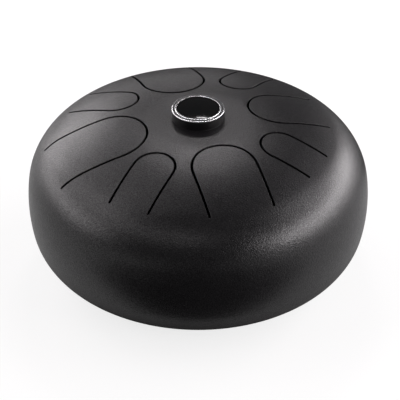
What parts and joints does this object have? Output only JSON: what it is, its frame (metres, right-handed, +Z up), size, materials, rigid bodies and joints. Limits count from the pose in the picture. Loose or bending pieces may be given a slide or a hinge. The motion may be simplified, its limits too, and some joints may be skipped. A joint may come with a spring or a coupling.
{
  "type": "steel tongue drum",
  "caption": "Round black steel tongue drum: domed top with U-shaped slit tongues, rounded wall, sound hole below, rubber feet and a centre puck with a bare badge.",
  "frame": {"origin": "centre of the drum on the surface that its feet stand on", "axes": "+Z up along the drum's axis, -Y towards the player, +X to the player's right"},
  "size_m": [0.305, 0.305, 0.1591],
  "materials": {
    "powder_coated_steel": "fine satin powder coat",
    "moulded_plastic": "semi-gloss moulded ABS",
    "rubber": "matt",
    "bright_chrome": "bright plated",
    "gloss_black_resin": "clear domed resin over black",
    "brass": "turned",
    "zinc_plated_steel": "zinc plated"
  },
  "bodies": {
    "drum": {"top_shell": "powder_coated_steel", "bottom_shell": "powder_coated_steel", "puck": "moulded_plastic", "puck_seat": "rubber", "rim_ring": "bright_chrome", "badge_tray": "bright_chrome", "badge_disc": "gloss_black_resin", "puck_insert": "brass", "puck_screw": "zinc_plated_steel", "puck_washer": "zinc_plated_steel", "foot_1": "rubber", "foot_2": "rubber", "foot_3": "rubber", "foot_4": "rubber", "foot_screws": "zinc_plated_steel", "foot_washers": "zinc_plated_steel", "foot_nuts": "zinc_plated_steel"},
    "tongue_1": {"tongue_1": "powder_coated_steel"},
    "tongue_2": {"tongue_2": "powder_coated_steel"},
    "tongue_3": {"tongue_3": "powder_coated_steel"},
    "tongue_4": {"tongue_4": "powder_coated_steel"},
    "tongue_5": {"tongue_5": "powder_coated_steel"},
    "tongue_6": {"tongue_6": "powder_coated_steel"},
    "tongue_7": {"tongue_7": "powder_coated_steel"},
    "tongue_8": {"tongue_8": "powder_coated_steel"}
  },
  "joints": [
    {"name": "tongue_1_flex", "type": "hinge", "parent": "drum", "child": "tongue_1", "pos_m": [0.03623, -0.1149, 0.12887], "axis": [0.9537, 0.3007, 0], "range_deg": [-0.5, 0.5], "stiffness_Nm_per_rad": 307},
    {"name": "tongue_2_flex", "type": "hinge", "parent": "drum", "child": "tongue_2", "pos_m": [-0.05704, -0.10957, 0.12736], "axis": [0.887, -0.4617, 0], "range_deg": [-0.5, 0.5], "stiffness_Nm_per_rad": 239},
    {"name": "tongue_3_flex", "type": "hinge", "parent": "drum", "child": "tongue_3", "pos_m": [-0.12508, -0.03944, 0.12235], "axis": [0.3007, -0.9537, 0], "range_deg": [-0.5, 0.5], "stiffness_Nm_per_rad": 300},
    {"name": "tongue_4_flex", "type": "hinge", "parent": "drum", "child": "tongue_4", "pos_m": [-0.10754, 0.05598, 0.12852], "axis": [-0.4617, -0.887, 0], "range_deg": [-0.5, 0.5], "stiffness_Nm_per_rad": 248},
    {"name": "tongue_5_flex", "type": "hinge", "parent": "drum", "child": "tongue_5", "pos_m": [-0.036, 0.11417, 0.12921], "axis": [-0.9537, -0.3007, 0], "range_deg": [-0.5, 0.5], "stiffness_Nm_per_rad": 311},
    {"name": "tongue_6_flex", "type": "hinge", "parent": "drum", "child": "tongue_6", "pos_m": [0.05422, 0.10416, 0.13018], "axis": [-0.887, 0.4617, 0], "range_deg": [-0.5, 0.5], "stiffness_Nm_per_rad": 247},
    {"name": "tongue_7_flex", "type": "hinge", "parent": "drum", "child": "tongue_7", "pos_m": [0.10835, 0.03416, 0.13171], "axis": [-0.3007, 0.9537, 0], "range_deg": [-0.5, 0.5], "stiffness_Nm_per_rad": 305},
    {"name": "tongue_8_flex", "type": "hinge", "parent": "drum", "child": "tongue_8", "pos_m": [0.10213, -0.05316, 0.13111], "axis": [0.4617, 0.887, 0], "range_deg": [-0.5, 0.5], "stiffness_Nm_per_rad": 277}
  ]
}
